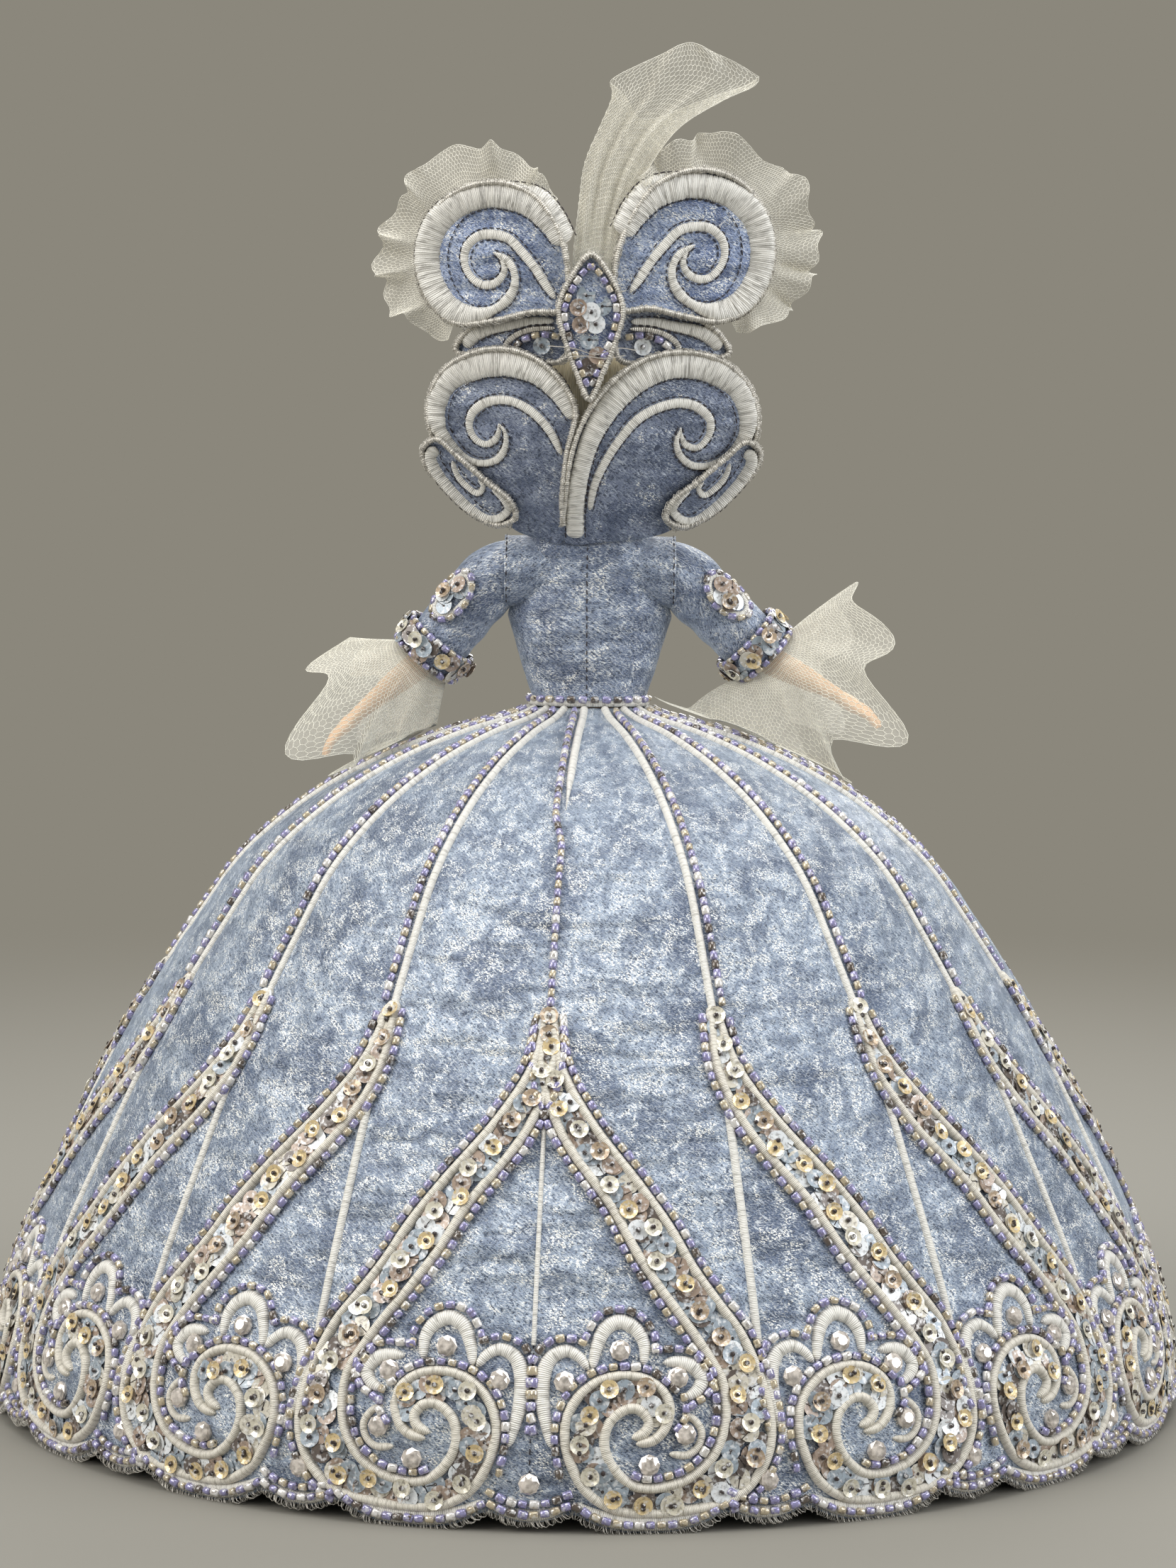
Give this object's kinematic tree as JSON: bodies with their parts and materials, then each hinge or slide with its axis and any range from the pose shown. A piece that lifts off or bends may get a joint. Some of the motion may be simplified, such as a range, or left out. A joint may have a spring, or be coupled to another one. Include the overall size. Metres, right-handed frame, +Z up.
{
  "type": "fashion doll",
  "caption": "Jointed fashion doll in a boned bell-shaped court gown with elbow sleeves, net flounces and a butterfly-shaped standing collar.",
  "frame": {"origin": "centre of the skirt's hem circle, on the surface that the doll stands on", "axes": "+Z up; +Y the way the doll faces; +X towards the doll's right-hand side"},
  "size_m": [0.3302, 0.3302, 0.37],
  "materials": {
    "brocade": "pale-blue crinkled metallic brocade",
    "satin": "white satin-stitch embroidery over padding",
    "net": "cream nylon net",
    "vinyl": "soft satin vinyl, tan",
    "body_plastic": "matt moulded plastic, tan",
    "hair": "pale blonde nylon fibre, swept up",
    "tape": "white woven cotton tape",
    "hoop_wire": "sprung wire in a white woven cover",
    "shoe": "pearly pale-blue plastic",
    "beadwork": "sequins and glass beads on a cloth ground",
    "steel": "plain steel pin"
  },
  "bodies": {
    "doll": {"torso": "body_plastic", "neck_knob": "body_plastic", "hip_axle": "steel", "bodice": "brocade", "waist_cord": "satin", "skirt_shell": "brocade", "crinoline_band": "tape", "spindle": "beadwork", "plume": "net", "crinoline_tape_1": "tape", "crinoline_tape_2": "tape", "crinoline_tape_3": "tape", "crinoline_tape_4": "tape", "crinoline_tape_5": "tape", "crinoline_tape_6": "tape", "hoop_lower": "hoop_wire", "hoop_middle": "hoop_wire", "hoop_upper": "hoop_wire", "collar_panel_left": "satin", "collar_lobe_left": "satin", "brow_panel_left": "satin", "wing_left": "satin", "ruffle_left": "net", "collar_panel_right": "satin", "collar_lobe_right": "satin", "brow_panel_right": "satin", "wing_right": "satin", "ruffle_right": "net"},
    "head": {"head": "vinyl", "hair": "hair"},
    "arm_left": {"arm_left": "vinyl", "sleeve_left": "brocade", "cuff_band_left": "beadwork", "sleeve_medallion_left": "beadwork", "engageante_left": "net"},
    "arm_right": {"arm_right": "vinyl", "sleeve_right": "brocade", "cuff_band_right": "beadwork", "sleeve_medallion_right": "beadwork", "engageante_right": "net"},
    "leg_left": {"leg_left": "vinyl", "shoe_left": "shoe"},
    "leg_right": {"leg_right": "vinyl", "shoe_right": "shoe"}
  },
  "joints": [
    {"name": "neck_swivel", "type": "hinge", "parent": "doll", "child": "head", "pos_m": [0, 0, 0.25], "axis": [0, 0, 1], "range_deg": [-85, 85]},
    {"name": "shoulder_left", "type": "hinge", "parent": "doll", "child": "arm_left", "pos_m": [-0.0183, 0, 0.228], "axis": [1, 0, 0], "range_deg": [-15, 75], "deforming": ["engageante_left"]},
    {"name": "shoulder_right", "type": "hinge", "parent": "doll", "child": "arm_right", "pos_m": [0.0183, 0, 0.228], "axis": [1, 0, 0], "range_deg": [-15, 75], "deforming": ["engageante_right"]},
    {"name": "hip_left", "type": "hinge", "parent": "doll", "child": "leg_left", "pos_m": [-0.011, 0, 0.152], "axis": [1, 0, 0], "range_deg": [-20, 55]},
    {"name": "hip_right", "type": "hinge", "parent": "doll", "child": "leg_right", "pos_m": [0.011, 0, 0.152], "axis": [1, 0, 0], "range_deg": [-20, 55]}
  ]
}
